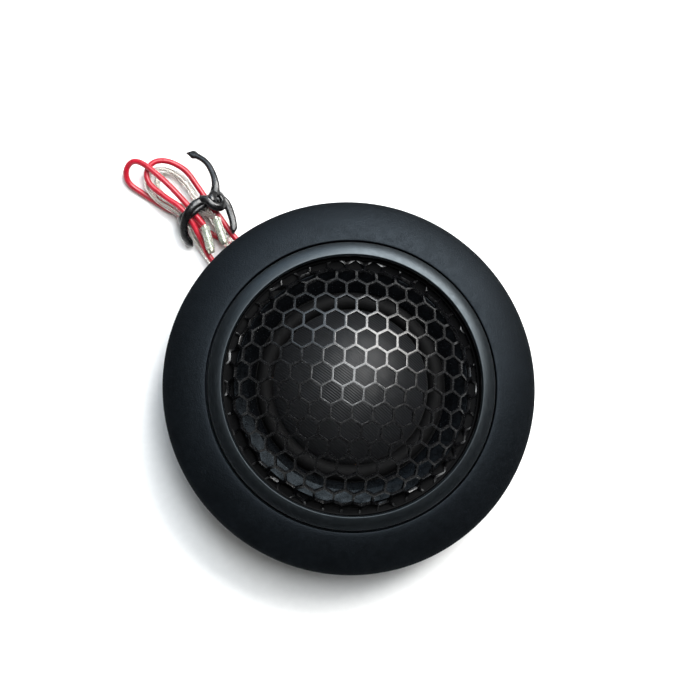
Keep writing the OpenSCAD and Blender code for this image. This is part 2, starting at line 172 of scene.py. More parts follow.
class Finish:
    """A procedural material whose textures are placed in millimetres on the object."""

    def __init__(self, name, colour, roughness, **sockets):
        self.material = bpy.data.materials.new(name)
        self.material.use_nodes = True
        self.tree = self.material.node_tree
        self.shader = self.tree.nodes["Principled BSDF"]
        self.shader.inputs["Base Color"].default_value = (*colour, 1)
        self.shader.inputs["Roughness"].default_value = roughness
        for socket, value in sockets.items():
            self.shader.inputs[socket.replace("_", " ")].default_value = value
        self.colour = colour
        coordinate = self.node("ShaderNodeTexCoord")
        scale = self.node("ShaderNodeVectorMath", operation="SCALE")
        scale.inputs["Scale"].default_value = 1 / MM
        self.link(coordinate.outputs["Object"], scale.inputs[0])
        self.place = scale.outputs["Vector"]

    def node(self, kind, **settings):
        made = self.tree.nodes.new(kind)
        for key, value in settings.items():
            setattr(made, key, value)
        return made

    def link(self, source, target):
        self.tree.links.new(source, target)

    def turned(self, degrees, stretch=(1, 1, 1)):
        """The place, turned about Z and stretched."""
        mapping = self.node("ShaderNodeMapping")
        mapping.inputs["Rotation"].default_value = (0, 0, math.radians(degrees))
        mapping.inputs["Scale"].default_value = stretch
        self.link(self.place, mapping.inputs["Vector"])
        return mapping.outputs["Vector"]

    def noise(self, size, detail=2, place=None, roughness=0.5):
        """Noise whose blotches are about size millimetres across."""
        made = self.node("ShaderNodeTexNoise")
        made.inputs["Scale"].default_value = 1 / size
        made.inputs["Detail"].default_value = detail
        made.inputs["Roughness"].default_value = roughness
        self.link(place or self.place, made.inputs["Vector"])
        return made.outputs["Fac"]

    def cells(self, size):
        """The distance from the nearest of scattered points about size millimetres apart."""
        made = self.node("ShaderNodeTexVoronoi")
        made.inputs["Scale"].default_value = 1 / size
        self.link(self.place, made.inputs["Vector"])
        return made.outputs["Distance"]

    def waves(self, pitch, place, shape="SIN", distortion=0.0):
        """Parallel bands across X, pitch millimetres apart."""
        made = self.node("ShaderNodeTexWave", wave_type="BANDS", bands_direction="X", wave_profile=shape)
        made.inputs["Scale"].default_value = math.pi / (10 * pitch)
        made.inputs["Distortion"].default_value = distortion
        self.link(place, made.inputs["Vector"])
        return made.outputs["Fac"]

    def rings(self, pitch, distortion=0.0):
        """Rings about Z, pitch millimetres apart."""
        made = self.node("ShaderNodeTexWave", wave_type="RINGS", rings_direction="Z")
        made.inputs["Scale"].default_value = math.pi / (10 * pitch)
        made.inputs["Distortion"].default_value = distortion
        self.link(self.place, made.inputs["Vector"])
        return made.outputs["Fac"]

    def sum(self, first, second, operation="ADD"):
        made = self.node("ShaderNodeMath", operation=operation)
        for source, target in zip((first, second), made.inputs):
            if isinstance(source, (int, float)):
                target.default_value = source
            else:
                self.link(source, target)
        return made.outputs["Value"]

    def ranged(self, factor, low, high, from_low=0.3, from_high=0.7):
        """The factor's usual range stretched to low..high."""
        made = self.node("ShaderNodeMapRange")
        made.inputs["From Min"].default_value = from_low
        made.inputs["From Max"].default_value = from_high
        made.inputs["To Min"].default_value = low
        made.inputs["To Max"].default_value = high
        self.link(factor, made.inputs["Value"])
        return made.outputs["Result"]

    def tint(self, factor, low, high, from_low=0.3, from_high=0.7):
        """The base colour goes from low to high times its own value as the factor rises."""
        mix = self.node("ShaderNodeMix", data_type="RGBA")
        for socket, share in (("A", low), ("B", high)):
            shade = [c * s for c, s in zip(self.colour, share if hasattr(share, "__len__") else (share,) * 3)]
            [s for s in mix.inputs if s.name == socket and s.type == "RGBA"][0].default_value = (*shade, 1)
        self.link(self.ranged(factor, 0, 1, from_low, from_high), mix.inputs["Factor"])
        self.link([s for s in mix.outputs if s.type == "RGBA"][0], self.shader.inputs["Base Color"])
        return self

    def rough(self, factor, low, high, from_low=0.3, from_high=0.7):
        self.link(self.ranged(factor, low, high, from_low, from_high), self.shader.inputs["Roughness"])
        return self

    def bump(self, height, depth, strength=1.0):
        """Relief of depth millimetres."""
        made = self.node("ShaderNodeBump")
        made.inputs["Strength"].default_value = strength
        made.inputs["Distance"].default_value = depth * MM
        self.link(height, made.inputs["Height"])
        self.link(made.outputs["Normal"], self.shader.inputs["Normal"])
        if self.shader.inputs["Coat Weight"].default_value > 0:
            self.link(made.outputs["Normal"], self.shader.inputs["Coat Normal"])
        return self


def flange_plastic():
    f = Finish("flange_plastic", (0.0012, 0.0016, 0.0021), 0.42, Specular_IOR_Level=0.13,
               Specular_Tint=(0.7, 0.85, 1, 1))
    grain = f.noise(0.26, 4, roughness=0.65)
    f.tint(f.sum(f.noise(6, 3), f.noise(0.5, 1), "MULTIPLY"), 0.7, 1.5, 0.15, 0.4)
    f.rough(f.sum(f.noise(1.2, 4), f.noise(0.3, 2), "MULTIPLY"), 0.36, 0.5, 0.15, 0.4)
    return f.bump(grain, 0.055).material


def bezel_plastic():
    f = Finish("bezel_plastic", (0.0012, 0.0016, 0.0021), 0.34, Specular_IOR_Level=0.42,
               Specular_Tint=(0.78, 0.91, 1, 1))
    pits = f.ranged(f.cells(0.55), 0, 1, 0.04, 0.16)
    f.tint(f.noise(2.5, 4), 0.8, 1.25)
    f.rough(f.noise(0.8, 5, f.turned(0, (1, 1, 4))), 0.3, 0.4)
    return f.bump(f.sum(f.noise(0.16, 2), f.sum(pits, 0.4, "MULTIPLY")), 0.005).material


def mesh_paint():
    f = Finish("mesh_paint", (0.002, 0.0021, 0.0025), 0.26, Specular_IOR_Level=0.55)
    f.tint(f.noise(0.9, 3), 0.6, 1.6)
    f.rough(f.noise(0.5, 3), 0.2, 0.34)
    return f.bump(f.noise(0.3, 3), 0.01).material


def silk():
    f = Finish("silk", (0.006, 0.0066, 0.0078), 0.5, Specular_IOR_Level=0.3, Sheen_Weight=0.05,
               Sheen_Roughness=0.4, Coat_Weight=0.08, Coat_Roughness=0.25)
    warp = f.waves(0.38, f.turned(-52))
    weft = f.waves(0.21, f.turned(38))
    weave = f.sum(f.sum(warp, 1.0, "MULTIPLY"), f.sum(weft, 0.35, "MULTIPLY"))
    fuzz = f.noise(0.1, 2)
    # The tint darkens the weave's grooves, where the bump sinks them: painted shade between the threads. The
    # wider noise adds a random tone.
    f.tint(f.sum(weave, f.noise(2.5, 3), "MULTIPLY"), 0.62, 1.5, 0.1, 0.75)
    f.rough(warp, 0.42, 0.56, 0, 1)
    return f.bump(f.sum(weave, f.sum(fuzz, 0.4, "MULTIPLY")), 0.032).material


def surround_cloth():
    f = Finish("surround_cloth", (0.0018, 0.0018, 0.002), 0.7, Specular_IOR_Level=0.12)
    weave = f.sum(f.waves(0.3, f.turned(45)), f.waves(0.3, f.turned(-45)), "MULTIPLY")
    f.tint(f.noise(1.5, 3), 0.7, 1.3)
    return f.bump(f.sum(weave, f.noise(0.15, 2)), 0.015).material


def gloss_black():
    f = Finish("gloss_black", (0.0012, 0.0013, 0.0016), 0.28, Specular_IOR_Level=0.09,
               Specular_Tint=(0.7, 0.86, 1, 1))
    f.tint(f.noise(3, 3), 0.8, 1.25)
    f.rough(f.noise(0.7, 4), 0.2, 0.34)
    return f.bump(f.noise(2.4, 2), 0.014).material


def matte_black():
    f = Finish("matte_black", (0.0022, 0.0023, 0.0025), 0.8, Specular_IOR_Level=0.08)
    f.tint(f.noise(1.5, 3), 0.7, 1.4)
    return f.bump(f.noise(0.3, 3), 0.012).material


def housing_plastic():
    f = Finish("housing_plastic", (0.010, 0.0105, 0.0115), 0.5)
    f.tint(f.noise(4, 4), 0.8, 1.25)
    f.rough(f.noise(0.9, 4), 0.42, 0.6)
    return f.bump(f.noise(0.2, 3), 0.014).material


def foam():
    f = Finish("foam", (0.018, 0.018, 0.0185), 0.95, Specular_IOR_Level=0.25)
    pore_pits_and_shade = f.cells(0.28)
    # The pores are painted darker towards their middles, where the bump sinks them: painted shade in the
    # pores.
    f.tint(pore_pits_and_shade, 0.5, 1.35, 0.05, 0.5)
    return f.bump(f.sum(pore_pits_and_shade, f.noise(0.8, 3)), 0.06).material


def plated_steel():
    f = Finish("plated_steel", (0.56, 0.57, 0.58), 0.32, Metallic=1.0)
    turning = f.rings(0.12, 0.6)
    f.tint(f.noise(3, 4), (0.85, 0.85, 0.88), (1.1, 1.08, 1.02))
    f.rough(f.noise(1.2, 4), 0.24, 0.42)
    return f.bump(f.sum(turning, f.noise(0.6, 3)), 0.006).material


def magnet_nickel():
    f = Finish("magnet_nickel", (0.70, 0.69, 0.66), 0.18, Metallic=1.0)
    f.tint(f.noise(2, 3), 0.92, 1.05)
    f.rough(f.noise(0.6, 4), 0.12, 0.26)
    return f.bump(f.noise(0.5, 3), 0.004).material


def former_film():
    f = Finish("former_film", (0.50, 0.24, 0.06), 0.2, Coat_Weight=0.4, Coat_Roughness=0.1)
    f.tint(f.noise(2, 2), 0.85, 1.15)
    return f.bump(f.noise(0.7, 2), 0.01).material


def copper_wire():
    f = Finish("copper_wire", (0.72, 0.30, 0.13), 0.25, Metallic=1.0, Coat_Weight=0.5,
               Coat_Roughness=0.12)
    f.tint(f.noise(0.6, 3), 0.75, 1.15)
    return f.bump(f.noise(0.2, 2), 0.006).material


def felt():
    f = Finish("felt", (0.12, 0.12, 0.115), 0.95, Sheen_Weight=0.5)
    f.tint(f.noise(0.3, 5, roughness=0.7), 0.55, 1.5)
    return f.bump(f.noise(0.16, 4, roughness=0.7), 0.08).material


def black_screw():
    f = Finish("black_screw", (0.045, 0.045, 0.05), 0.35, Metallic=0.8)
    f.tint(f.noise(0.5, 4), 0.5, 1.8)
    f.rough(f.noise(0.4, 3), 0.28, 0.48)
    return f.bump(f.noise(0.25, 3), 0.008).material


def phenolic():
    f = Finish("phenolic", (0.26, 0.13, 0.05), 0.45)
    f.tint(f.noise(0.5, 4, f.turned(0, (1, 1, 6))), 0.7, 1.3)
    return f.bump(f.noise(0.3, 3, f.turned(0, (1, 1, 6))), 0.01).material


def tinned_brass():
    f = Finish("tinned_brass", (0.50, 0.51, 0.44), 0.34, Metallic=1.0)
    f.tint(f.noise(0.5, 4), (0.6, 0.62, 0.6), (1.2, 1.18, 1.1))
    f.rough(f.noise(0.35, 4), 0.22, 0.5)
    return f.bump(f.noise(0.25, 3), 0.01).material


def black_rubber():
    f = Finish("black_rubber", (0.016, 0.016, 0.016), 0.6, Specular_IOR_Level=0.4)
    f.tint(f.noise(1.5, 3), 0.7, 1.4)
    return f.bump(f.noise(0.25, 3), 0.012).material


def red_insulation():
    f = Finish("red_insulation", (0.38, 0.006, 0.02), 0.34, Specular_IOR_Level=0.4,
               Subsurface_Weight=0.1, Subsurface_Scale=0.0005, Coat_Weight=0.1, Coat_Roughness=0.2)
    f.tint(f.noise(1.1, 3), (0.78, 0.7, 0.7), (1.18, 1.6, 1.4))
    f.rough(f.noise(0.5, 3), 0.24, 0.4)
    return f.bump(f.noise(0.6, 2), 0.012).material


def clear_insulation():
    f = Finish("clear_insulation", (0.955, 0.94, 0.90), 0.1, Transmission_Weight=0.92, IOR=1.3)
    f.tint(f.noise(1.2, 3), (0.93, 0.92, 0.9), (1.04, 1.05, 1.07))
    f.rough(f.noise(0.6, 3), 0.05, 0.2)
    return f.bump(f.noise(0.7, 2), 0.012).material


def clear_sleeve():
    f = Finish("clear_sleeve", (0.86, 0.89, 0.82), 0.15, Transmission_Weight=0.85, IOR=1.4)
    f.tint(f.noise(0.8, 3), (0.85, 0.87, 0.85), (1.08, 1.08, 1.08))
    f.rough(f.noise(0.5, 3), 0.1, 0.3)
    return f.bump(f.noise(0.4, 3), 0.02).material


def tinned_strands():
    f = Finish("tinned_strands", (0.62, 0.60, 0.55), 0.3, Metallic=1.0)
    f.tint(f.noise(0.3, 3), 0.6, 1.2)
    return f.bump(f.noise(0.15, 2), 0.006).material


def tie_plastic():
    f = Finish("tie_plastic", (0.003, 0.003, 0.0034), 0.26, Specular_IOR_Level=0.4, Coat_Weight=0.15,
               Coat_Roughness=0.14)
    f.tint(f.noise(1.2, 3), 0.7, 1.5)
    f.rough(f.noise(0.6, 4), 0.18, 0.36)
    return f.bump(f.noise(0.7, 3), 0.03).material


def floor_paper():
    f = Finish("floor_paper", (0.93, 0.93, 0.925), 0.8, Specular_IOR_Level=0.2)
    f.tint(f.noise(1.2, 3), 0.985, 1.015)
    return f.bump(f.noise(0.7, 2), 0.02).material


MATERIALS = {make.__name__: make() for make in (
    flange_plastic, bezel_plastic, mesh_paint, silk, surround_cloth, gloss_black, housing_plastic,
    foam, plated_steel, magnet_nickel, former_film, copper_wire, felt, black_screw, phenolic,
    tinned_brass, black_rubber, red_insulation, clear_insulation, clear_sleeve, tinned_strands,
    tie_plastic, matte_black, floor_paper)}


# ---------------------------------------------------------------- mesh tools


def make_mesh(name, points, faces, sharp=35):
    """A mesh from points in metres, smooth except at edges sharper than that many degrees."""
    mesh = bpy.data.meshes.new(name)
    shell = bmesh.new()
    corners = [shell.verts.new(p) for p in points]
    for face in faces:
        if len(set(face)) > 2:
            shell.faces.new([corners[i] for i in face])
    bmesh.ops.remove_doubles(shell, verts=shell.verts, dist=0.001 * MM)
    bmesh.ops.recalc_face_normals(shell, faces=shell.faces)
    shell.to_mesh(mesh)
    shell.free()
    for polygon in mesh.polygons:
        polygon.use_smooth = True
    mesh.set_sharp_from_angle(angle=math.radians(sharp))
    return mesh


def piece(name, data, slot, body="capsule", stands_for=()):
    """A piece of the object with its slot's material, which rides on a body."""
    made = bpy.data.objects.new(name, data)
    bpy.context.scene.collection.objects.link(made)
    data.materials.append(MATERIALS[slot])
    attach(made, body)
    if stands_for:
        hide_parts(*stands_for)
    return made


def rounded(outline, steps=4):
    """A closed outline of (x, z, corner radius) with its corners turned into arcs."""
    result = []
    for i, (x, z, radius) in enumerate(outline):
        here = Vector((x, z))
        back = Vector(outline[i - 1][:2]) - here
        on = Vector(outline[(i + 1) % len(outline)][:2]) - here
        opening = back.angle(on)
        if radius == 0 or opening > math.radians(178):
            result.append(here)
            continue
        reach = min(radius / math.tan(opening / 2), 0.48 * back.length, 0.48 * on.length)
        radius = reach * math.tan(opening / 2)
        centre = here + (back.normalized() + on.normalized()).normalized() * radius / math.sin(opening / 2)
        start = here + back.normalized() * reach - centre
        end = here + on.normalized() * reach - centre
        sweep = start.angle(end)
        for k in range(steps + 1):
            share = k / steps
            spoke = start * math.sin((1 - share) * sweep) + end * math.sin(share * sweep)
            result.append(centre + spoke / math.sin(sweep))
    return result


def arc(centre, radius, start, end, steps):
    """Points on an arc, with angles in degrees from +X."""
    angles = [math.radians(start + (end - start) * k / steps) for k in range(steps + 1)]
    return [Vector((centre[0] + radius * math.cos(a), centre[1] + radius * math.sin(a))) for a in angles]


def lathe(name, outline, segments=192, sharp=35, start=0, sweep=360):
    """A closed outline of (radius, z) in millimetres turned about Z, all round or through a sweep."""
    whole = sweep == 360
    turns = segments if whole else segments + 1
    points = []
    for k in range(turns):
        a = math.radians(start + sweep * k / segments)
        points += [mm(p[0] * math.cos(a), p[0] * math.sin(a), p[1]) for p in outline]
    n = len(outline)
    faces = []
    for k in range(segments):
        here, there = k * n, (k + 1) % turns * n
        faces += [(here + i, here + (i + 1) % n, there + (i + 1) % n, there + i) for i in range(n)]
    if not whole:
        faces += [tuple(range(n)), tuple(range((turns - 1) * n, turns * n))]
    return make_mesh(name, points, faces, sharp)


def cut(made, cutters):
    """Takes the cutters' shapes out of a piece's mesh."""
    tools = []
    for mesh in cutters:
        tool = bpy.data.objects.new("cutter", mesh)
        bpy.context.scene.collection.objects.link(tool)
        modifier = made.modifiers.new("cut", "BOOLEAN")
        modifier.operation = "DIFFERENCE"
        modifier.solver = "EXACT"
        modifier.object = tool
        tools.append(tool)
    settle(made)
    for tool in tools:
        bpy.data.objects.remove(tool)


def settle(made, sharp=35):
    """Applies a piece's modifiers to its own mesh."""
    bpy.context.view_layer.update()
    graph = bpy.context.evaluated_depsgraph_get()
    mesh = bpy.data.meshes.new_from_object(made.evaluated_get(graph))
    made.modifiers.clear()
    made.data = mesh
    for polygon in mesh.polygons:
        polygon.use_smooth = True
    mesh.set_sharp_from_angle(angle=math.radians(sharp))


def smooth_path(points, step=0.3):
    """Points about a step apart, in metres, on a smooth curve through places in metres."""
    ends = [points[0] * 2 - points[1], *points, points[-1] * 2 - points[-2]]
    path = []
    for a, b, c, d in zip(ends, ends[1:], ends[2:], ends[3:]):
        count = max(2, round((c - b).length / (step * MM)))
        for k in range(count):
            t = k / count
            path.append(0.5 * (2 * b + (c - a) * t + (2 * a - 5 * b + 4 * c - d) * t * t
                               + (3 * b - a - 3 * c + d) * t ** 3))
    return path + [points[-1].copy()]


def carried_axes(path, up):
    """The side and up directions at each point of a path, carried along it without twisting."""
    axes = []
    for i in range(len(path)):
        ahead = (path[min(i + 1, len(path) - 1)] - path[max(i - 1, 0)]).normalized()
        side = ahead.cross(up).normalized()
        up = side.cross(ahead).normalized()
        axes.append((side, up))
    return axes


def skin(rings, closed=False):
    """The points and faces of a tube through rings of places, with its ends closed."""
    sides = len(rings[0])
    points = [p for ring in rings for p in ring]
    faces = []
    for i in range(len(rings) if closed else len(rings) - 1):
        here, there = i * sides, (i + 1) % len(rings) * sides
        faces += [(here + k, here + (k + 1) % sides, there + (k + 1) % sides, there + k)
                  for k in range(sides)]
    if not closed:
        faces += [tuple(range(sides)), tuple(range(len(points) - sides, len(points)))]
    return points, faces


def joined(parts):
    """Several (points, faces) as one."""
    points, faces = [], []
    for more_points, more_faces in parts:
        faces += [tuple(i + len(points) for i in face) for face in more_faces]
        points += more_points
    return points, faces


def strap_ring(point, side, up, half_w, half_h, sides=16, power=2.6):
    """A ring of a strap: a soft rectangle half_w wide and half_h high each way, in millimetres."""
    ring = []
    for k in range(sides):
        a = 2 * math.pi * (k + 0.5) / sides
        x = math.copysign(abs(math.cos(a)) ** (2 / power), math.cos(a)) * half_w
        y = math.copysign(abs(math.sin(a)) ** (2 / power), math.sin(a)) * half_h
        ring.append(point + (side * x + up * y) * MM)
    return ring


# ---------------------------------------------------------------- leads, tie and crimps

RED_ROUTE = ((18.4, -2.2, 3.4), (21, -2.2, 3.4), (23.5, -2.2, 3.4), (25.1, -1.8, 3), (26.6, -1.2, 2.4))
CLEAR_ROUTE = ((18.4, 2.2, 3.4), (21, 2.2, 3.4), (23.5, 2.2, 3.4), (25.1, 2, 3), (26.6, 1.6, 2.4))
RED_HANK = (
    (30, -1.4, 2.3), (34, -1.3, 2.3), (37, -1.4, 2.5), (40, -1.4, 2.5),
    (43.5, -1.6, 2.5), (46.9, -1.6, 2.4), (49.8, -0.3, 2.4), (51.2, 1.7, 2.4), (50.7, 3.7, 2.4),
    (48.7, 4.7, 2.6), (45.5, 4.1, 2.9), (42.5, 3.2, 3.3),
    (40, 3, 3.4), (37.4, 3.3, 2.9), (35, 3.7, 2.4), (33, 4.1, 2.1), (31, 4.1, 1.9), (29.2, 3.4, 1.6),
    (28.3, 1.9, 1.4), (28.9, 0.4, 1.2), (30.6, -0.2, 1.1), (32.8, 0.2, 0.9), (35, 1, 0.7), (37.5, 2, 0.9),
    (40, 2.5, 1.4),
    (41.5, 3.2, 1), (43.5, 4.6, 0.6), (46, 5.6, 0.55), (48.5, 6.5, 0.6), (50.8, 7.2, 0.8),
    (52.4, 6.9, 1.3), (53.4, 5.8, 2), (53.3, 4.5, 2.8), (51.9, 3.6, 3.4), (49.2, 2.9, 3.7),
    (45.8, 2.3, 3.7),
    (41.5, 1.9, 3.6), (40, 1.9, 3.6), (37.2, 1.8, 3.85))
CLEAR_HANK = (
    (30, 1, 2.4), (34, 0.2, 2.4), (37, -0.2, 2.45), (40, -0.3, 2.5),
    (42.3, -0.1, 2.3), (45.1, -0.3, 2), (48, 0.3, 1.6), (49.8, 1.7, 1.5), (50.1, 3.7, 1.5),
    (48.6, 5.2, 1.6), (45.6, 5.2, 1.7), (41, 3.8, 2.3),
    (37.5, 4, 1.9), (35, 4.2, 1.2), (32, 4.3, 0.8), (29.6, 3.9, 0.6), (28, 2.8, 0.55),
    (27.4, 1.4, 0.55), (27.8, 0, 0.55), (29.2, -1.2, 0.55), (31.5, -1.5, 0.55), (34, -1, 0.55),
    (37, -0.2, 0.8), (40, 0.3, 1.4),
    (42, -0.3, 0.8), (44, -0.7, 0.55), (46.3, -0.7, 0.55), (47.9, -0.1, 0.55), (48.9, 1.2, 0.55),
    (48.8, 2.8, 0.55), (47.5, 3.8, 0.6), (45.5, 3.8, 0.7), (43.6, 3, 1), (42, 2.1, 1.7), (40, 1.4, 2.5),
    (37.2, -0.6, 3.85))
TAIL_OUT_ROUTE = ((40.2, -2.8, 4.6), (41.6, -4, 4.6), (43.6, -4.9, 4), (45.8, -5.2, 3.4),
                  (47.8, -4.6, 2.8), (49.2, -3.6, 2.4))
TAIL_IN_ROUTE = ((39.8, -2.8, 4.2), (38, -3.5, 4), (35.8, -3, 3.8), (34, -2.1, 3.8),
                 (33, -1.3, 3.8))
HOOK_ROUTE = ((40.6, -0.6, 4.9), (40.8, 1.2, 5.1), (40.3, 3, 4.8), (39.3, 4.5, 3.8),
              (38, 5.3, 2.7), (36.8, 5.4, 1.8), (35.8, 5.2, 1.1))
KNOT_ROUTE = ((41, -0.2, 4.9), (40.2, -1, 5.2), (38.8, -1.3, 5.2), (37.9, -2.2, 4.8),
              (38.3, -3.2, 4.2), (39.6, -3.5, 4.1), (40.4, -2.8, 4.7), (39.8, -1.9, 5.2),
              (38.8, -2.1, 5.1))
CRIMP_Z = 3.85
CRIMPS = {"crimp_red": (37.2, 1.8, 158), "crimp_clear": (37.2, -0.6, 162)}
STRANDS = 7
STRAND_R = 0.055


def lead_curve(name, path, slot, stands_for):
    """A round lead along a path, as one open curve."""
    curve = bpy.data.curves.new(name, "CURVE")
    curve.dimensions = "3D"
    curve.bevel_depth = LEAD_R * MM
    curve.bevel_resolution = 5
    curve.use_fill_caps = True
    spline = curve.splines.new("POLY")
    spline.points.add(len(path) - 1)
    for target, place in zip(spline.points, path):
        target.co = (*place, 1)
    spline.use_smooth = True
    return piece(name, curve, slot, stands_for=stands_for)


def strand_bundle(name, path):
    """Tinned strands laid in a long twist along a path."""
    lay = 9 * MM
    along = 0
    turns = []
    for before, here in zip([path[0], *path], path):
        along += (here - before).length
        turns.append(2 * math.pi * along / lay)
    axes = carried_axes(path, Vector((0, 0, 1)))
    tubes = []
    for s in range(STRANDS):
        spread = 0 if s == 0 else 2.1 * STRAND_R * MM
        first = 2 * math.pi * s / (STRANDS - 1)
        rings = []
        for point, (side, up), turn in zip(path, axes, turns):
            a = first + turn
            centre = point + (side * math.cos(a) + up * math.sin(a)) * spread
            rings.append([centre + (side * math.cos(b) + up * math.sin(b)) * STRAND_R * MM
                          for b in (2 * math.pi * k / 6 for k in range(6))])
        tubes.append(skin(rings))
    return piece(name, make_mesh(name, *joined(tubes), sharp=80), "tinned_strands")


def make_crimps():
    """Each lead's crimped end: a dented metal barrel in a clear sleeve."""
    barrel = ((0.0, 0.34), (0.05, 0.5), (0.35, 0.56), (0.8, 0.58), (1.1, 0.44), (1.4, 0.44),
              (1.7, 0.58), (2.5, 0.59), (2.8, 0.46), (3.1, 0.46), (3.4, 0.59), (4.4, 0.59),
              (4.85, 0.56), (4.98, 0.5), (4.98, 0.4), (4.6, 0.36), (3.6, 0.34), (3.5, 0.0))
    sleeve = rounded(((0.625, 0.3, 0.03), (0.625, 4.3, 0.03), (0.8, 4.3, 0.07), (0.78, 2.2, 0.5),
                      (0.8, 0.3, 0.07)), 3)
    made = []
    for name, (u, v, turn) in CRIMPS.items():
        outline = [Vector((0, 0))] + [Vector((r, z)) for z, r in barrel]
        stand = Matrix.Rotation(LEAD_AZ + math.radians(turn), 4, "Z") @ Matrix.Rotation(math.pi / 2, 4, "Y")
        place = Matrix.Translation(lead_place(u, v, CRIMP_Z)) @ stand
        metal = lathe(name + "_barrel", outline, 32)
        metal.transform(place)
        made.append(piece(name + "_barrel", metal, "tinned_brass", stands_for=(name,)))
        cover = lathe(name + "_sleeve", sleeve, 40)
        cover.transform(place)
        made.append(piece(name + "_sleeve", cover, "clear_sleeve", stands_for=("crimp_sleeves",)))
    return made


def strap(route, half_w, half_h, start_w=0.0, barb=0.0, step=0.25):
    """A soft strap along places in the leads' frame, tapered to a tip; barb widens it before the tip."""
    path = smooth_path([lead_place(*p) for p in route], step)
    rings = []
    for i, (point, (side, up)) in enumerate(zip(path, carried_axes(path, Vector((0, 0, 1))))):
        left = (len(path) - 1 - i) * step
        done = i * step
        taper = min(1, 0.15 + left / 1.1)
        swell = 1 + barb * math.exp(-((left - 1.3) / 0.5) ** 2)
        width = (half_w + start_w * math.exp(-done / 1.8)) * taper * swell
        rings.append(strap_ring(point, side, up, width, half_h * min(1, 0.35 + left / 0.8)))
    return skin(rings)


def tie_parts():
    """The tie: its band round the leads, a hooked fold, a knot and two tails."""
    band = []
    for k in range(56):
        a = 2 * math.pi * k / 56
        v = 1.1 + math.copysign(abs(math.cos(a)) ** 0.72, math.cos(a)) * 3.5
        z = 2.5 + math.copysign(abs(math.sin(a)) ** 0.72, math.sin(a)) * 2.03
        out = (ACROSS * math.cos(a) * 2 + Vector((0, 0, 1)) * math.sin(a) * 3.4).normalized()
        band.append(strap_ring(lead_place(40 + 0.25 * math.sin(a), v, z), OUT, out, 0.86, 0.35))
    return [skin(band, closed=True),
            strap(HOOK_ROUTE, 0.72, 0.42),
            strap(KNOT_ROUTE, 0.72, 0.5),
            strap(TAIL_OUT_ROUTE, 0.5, 0.4, start_w=0.45, barb=0.55),
            strap(TAIL_IN_ROUTE, 0.62, 0.4, start_w=0.3)]


def make_leads():
    red = smooth_path([lead_place(*p) for p in RED_ROUTE + RED_HANK])
    clear = smooth_path([lead_place(*p) for p in CLEAR_ROUTE + CLEAR_HANK])
    red_lead = lead_curve("lead_red_insulation", red, "red_insulation", ("lead_red", "lead_hank"))
    clear_lead = lead_curve("lead_clear_insulation", clear, "clear_insulation", ("lead_clear", "lead_hank"))
    strands = strand_bundle("lead_clear_strands", clear)
    tie = piece("twist_tie_strap", make_mesh("twist_tie_strap", *joined(tie_parts()), sharp=60),
                "tie_plastic", stands_for=("twist_tie",))
    red_barrel, red_sleeve, clear_barrel, clear_sleeve = make_crimps()


# ---------------------------------------------------------------- mounting ring


def flange_outline():
    """The mounting ring's section: skirt, flat seat, rounded edge, convex top and soft inner lip."""
    recess_r = BEZEL_R + GROOVE_W
    start = Vector((FLANGE_R - 0.12, EDGE_Z))
    end = Vector((recess_r + 0.35, RING_TOP_Z))
    bulge = 0.34
    top = []
    for k in range(15):
        share = k / 14
        middle = start.lerp(end, share)
        top.append((middle.x, middle.y + bulge * 4 * share * (1 - share) * (1 - share * 0.25), 0.0))
    corners = [(SKIRT_IN_R, SKIRT_Z, 0.2), (SKIRT_R - 0.4, SKIRT_Z, 0.15), (SKIRT_R, SKIRT_Z + 0.6, 0.2),
               (SKIRT_R, SEAT_Z, 0.12), (FLANGE_R, SEAT_Z, 0.45)]
    corners += [(FLANGE_R, EDGE_Z - 0.15, 0.3)] + top[1:-1]
    corners += [(recess_r, RING_TOP_Z + 0.02, 0.22), (recess_r, LEDGE_Z, 0.1), (SKIRT_IN_R, LEDGE_Z, 0.1)]
    return rounded(corners, 5)


def make_mounting_ring():
    ring = piece("mounting_flange_shell", lathe("mounting_flange_shell", flange_outline(), 240),
                 "flange_plastic", "mounting_ring", ("mounting_flange",))
    lug_low, lug_high = 7.4, 8.8
    gap = 0.3
    channel = [(SKIRT_IN_R - 0.3, lug_low - gap), (LUG_R + gap, lug_low - gap),
               (LUG_R + gap, lug_high + gap), (SKIRT_IN_R - 0.3, lug_high + gap)]
    entry = [(SKIRT_IN_R - 0.3, SKIRT_Z - 1), (LUG_R + gap, SKIRT_Z - 1),
             (LUG_R + gap, lug_low + gap), (SKIRT_IN_R - 0.3, lug_low + gap)]
    cutters = []
    for angle in LUG_ANGLES:
        cutters.append(lathe("channel", channel, 24, start=angle - 27, sweep=34))
        cutters.append(lathe("entry", entry, 12, start=angle - 27.02, sweep=14))
    cut(ring, cutters)
    low, high, inner, outer = GASKET_LOW.z, GASKET_HIGH.z, SKIRT_R + 1, GASKET_HIGH.x
    middle = (low + high) / 2
    outline = rounded(((inner, high, 0.1), (inner + 0.06, middle, 0.3), (inner, low, 0.22),
                       (outer, low, 0.22), (outer - 0.06, middle, 0.3), (outer, high, 0.1)), 3)
    gasket = lathe("gasket_foam", outline, 240, sharp=60)
    for vertex in gasket.vertices:
        if vertex.co.z < (high - 0.2) * MM:
            vertex.co.z += random.uniform(0, 0.02) * MM
    piece("gasket_foam", gasket, "foam", "mounting_ring", ("flange_gasket",))


# ---------------------------------------------------------------- capsule front


